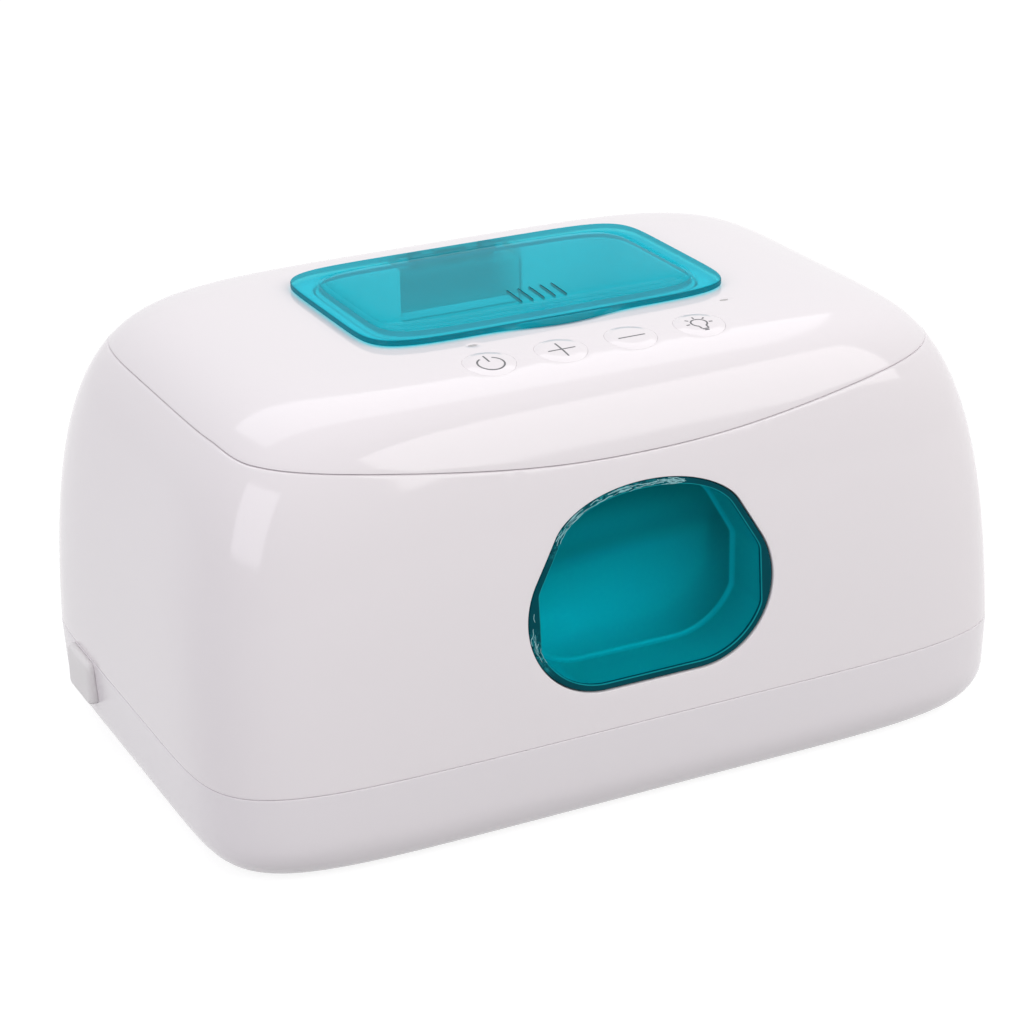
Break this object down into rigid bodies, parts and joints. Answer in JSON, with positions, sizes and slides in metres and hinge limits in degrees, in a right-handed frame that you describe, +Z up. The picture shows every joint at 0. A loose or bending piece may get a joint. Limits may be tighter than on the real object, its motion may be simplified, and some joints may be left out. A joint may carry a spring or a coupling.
{
  "type": "baby wipe warmer",
  "caption": "White rounded-box wipe warmer with a hinged lid, a translucent flip cover over a dispensing well, round buttons, a front night-light window and a heated tub.",
  "frame": {"origin": "on the surface the warmer stands on, under the middle of the housing", "axes": "+X to the right of someone facing the window, -Y to the front, +Z up"},
  "size_m": [0.2517, 0.1636, 0.1306],
  "materials": {
    "white_gloss": "gloss white moulding",
    "white_satin": "satin white moulding",
    "teal_clear": "clear teal, polished",
    "rubber": "matt grey",
    "steel": "plated",
    "lamp": "clear resin over a lamp",
    "circuit_board": "solder mask",
    "aluminium": "rolled sheet",
    "foam": "felted insulation",
    "black_plastic": "matt black",
    "grey_plastic": "matt grey",
    "silicone": "soft silicone",
    "lead": "soft sleeve"
  },
  "bodies": {
    "housing": {"base_tray": "white_gloss", "outer_shell": "white_gloss", "window_lens": "teal_clear", "light_box": "teal_clear", "inner_tub": "white_satin", "foot_front_left": "rubber", "base_screw_front_left": "steel", "foot_front_right": "rubber", "base_screw_front_right": "steel", "foot_rear_left": "rubber", "base_screw_rear_left": "steel", "foot_rear_right": "rubber", "base_screw_rear_right": "steel", "night_light_led_1": "lamp", "night_light_led_2": "lamp", "night_light_led_3": "lamp", "night_light_board": "circuit_board", "heater_plate": "aluminium", "insulation_pad": "foam", "thermal_cutout": "black_plastic", "temperature_sensor": "grey_plastic", "power_board": "circuit_board", "voltage_regulator": "black_plastic", "dc_inlet_jack": "black_plastic", "jack_lead": "lead", "heater_lead": "lead", "light_lead": "lead", "lid_hinge_pin_left": "steel", "lid_hinge_pin_right": "steel"},
    "lid": {"lid_shell": "white_gloss", "lid_inner_panel": "white_satin", "lid_gasket": "silicone", "dispensing_well": "white_gloss", "dispensing_lips": "silicone", "cover_hinge_housing": "grey_plastic", "cover_catch": "grey_plastic", "lid_screw_front_left": "steel", "lid_screw_front_right": "steel", "lid_screw_rear_left": "steel", "lid_screw_rear_right": "steel", "control_board": "circuit_board", "switch_power": "black_plastic", "switch_plus": "black_plastic", "switch_minus": "black_plastic", "switch_light": "black_plastic", "indicator_left": "grey_plastic", "indicator_right": "grey_plastic", "cover_hinge_pin": "steel", "cover_spring": "steel"},
    "cover": {"dispenser_cover": "teal_clear"},
    "plug": {"inlet_cover": "silicone"},
    "power_button": {"button_power": "white_gloss"},
    "plus_button": {"button_plus": "white_gloss"},
    "minus_button": {"button_minus": "white_gloss"},
    "light_button": {"button_light": "white_gloss"}
  },
  "joints": [
    {"name": "lid_hinge", "type": "hinge", "parent": "housing", "child": "lid", "pos_m": [0, 0.07501, 0.1139], "axis": [-1, 0, 0], "range_deg": [0, 95]},
    {"name": "cover_hinge", "type": "hinge", "parent": "lid", "child": "cover", "pos_m": [0, 0.0444, 0.1264], "axis": [-1, 0, 0], "range_deg": [0, 105]},
    {"name": "plug_slide", "type": "slide", "parent": "housing", "child": "plug", "axis": [-1, 0, 0], "range_m": [0, 0.008]},
    {"name": "power_press", "type": "slide", "parent": "lid", "child": "power_button", "axis": [0, 0, -1], "range_m": [0, 0.0006], "stiffness_N_per_m": 800},
    {"name": "plus_press", "type": "slide", "parent": "lid", "child": "plus_button", "axis": [0, 0, -1], "range_m": [0, 0.0006], "stiffness_N_per_m": 800},
    {"name": "minus_press", "type": "slide", "parent": "lid", "child": "minus_button", "axis": [0, 0, -1], "range_m": [0, 0.0006], "stiffness_N_per_m": 800},
    {"name": "light_press", "type": "slide", "parent": "lid", "child": "light_button", "axis": [0, 0, -1], "range_m": [0, 0.0006], "stiffness_N_per_m": 800}
  ]
}
